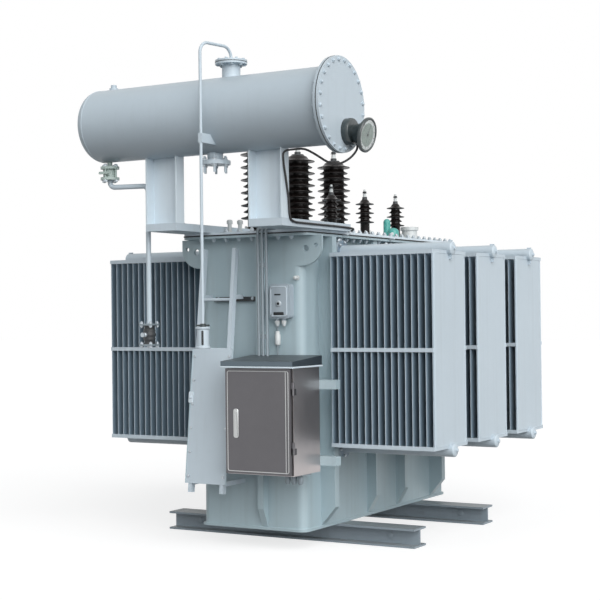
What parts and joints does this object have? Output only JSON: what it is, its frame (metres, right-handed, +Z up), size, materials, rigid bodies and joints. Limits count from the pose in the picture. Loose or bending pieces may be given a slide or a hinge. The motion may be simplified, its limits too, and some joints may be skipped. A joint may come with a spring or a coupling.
{
  "type": "power transformer",
  "caption": "Oil-filled power transformer: tank on skid beams, side panel radiators, porcelain bushings, an end conservator on legs, a ladder and a control cabinet with a hinged door.",
  "frame": {"origin": "on the floor, at the centre of the skid's foundation bolt pattern under the middle of the tank", "axes": "+Z up, +X across the tank to the cabinet door's hinge side, -Y towards the cabinet, ladder and conservator end"},
  "size_m": [2.649, 3.097, 3.327],
  "materials": {
    "tank_paint": "satin paint",
    "radiator_paint": "satin paint",
    "conservator_paint": "satin paint",
    "skid_paint": "satin paint",
    "stainless": "brushed",
    "handle": "plated",
    "porcelain": "brown glaze",
    "dark_casting": "dark paint",
    "pale_fitting": "satin paint",
    "green_fitting": "gloss paint",
    "cable": "matt black"
  },
  "bodies": {
    "transformer": {"skid_front": "skid_paint", "skid_rear": "skid_paint", "tank_floor": "tank_paint", "tank_wall": "tank_paint", "tank_cover": "tank_paint", "instrument_post": "tank_paint", "cabinet_rail_lower": "tank_paint", "cabinet_rail_upper": "tank_paint", "radiator_right_1": "radiator_paint", "radiator_right_2": "radiator_paint", "radiator_right_3": "radiator_paint", "radiator_left_1": "radiator_paint", "radiator_left_2": "radiator_paint", "radiator_left_3": "radiator_paint", "conservator_shell": "conservator_paint", "conservator_dome": "conservator_paint", "conservator_cover": "conservator_paint", "conservator_nozzle": "conservator_paint", "conservator_leg_left": "conservator_paint", "conservator_leg_right": "conservator_paint", "support_beam_left": "conservator_paint", "support_beam_right": "conservator_paint", "sump_flange": "conservator_paint", "drain_valve": "conservator_paint", "drain_pipe": "conservator_paint", "drain_cock": "dark_casting", "vent_pipe": "conservator_paint", "breather": "pale_fitting", "oil_gauge": "dark_casting", "gauge_cable": "cable", "hv_bushing_1": "porcelain", "hv_bushing_2": "porcelain", "hv_bushing_3": "porcelain", "lv_bushing_1": "porcelain", "lv_bushing_2": "porcelain", "lv_bushing_3": "porcelain", "cabinet_body": "stainless", "cabinet_roof": "stainless", "cabinet_hinges": "stainless", "cabinet_glands": "pale_fitting", "ladder": "tank_paint", "ladder_guard": "tank_paint", "terminal_box": "pale_fitting", "conduits": "pale_fitting", "relief_valve": "pale_fitting", "tap_post": "green_fitting"},
    "door": {"cabinet_door": "stainless", "cabinet_handle": "handle"}
  },
  "joints": [
    {"name": "cabinet_door_hinge", "type": "hinge", "parent": "transformer", "child": "door", "pos_m": [0.573, -1.522, 0.9], "axis": [0, 0, 1], "range_deg": [0, 110]}
  ]
}
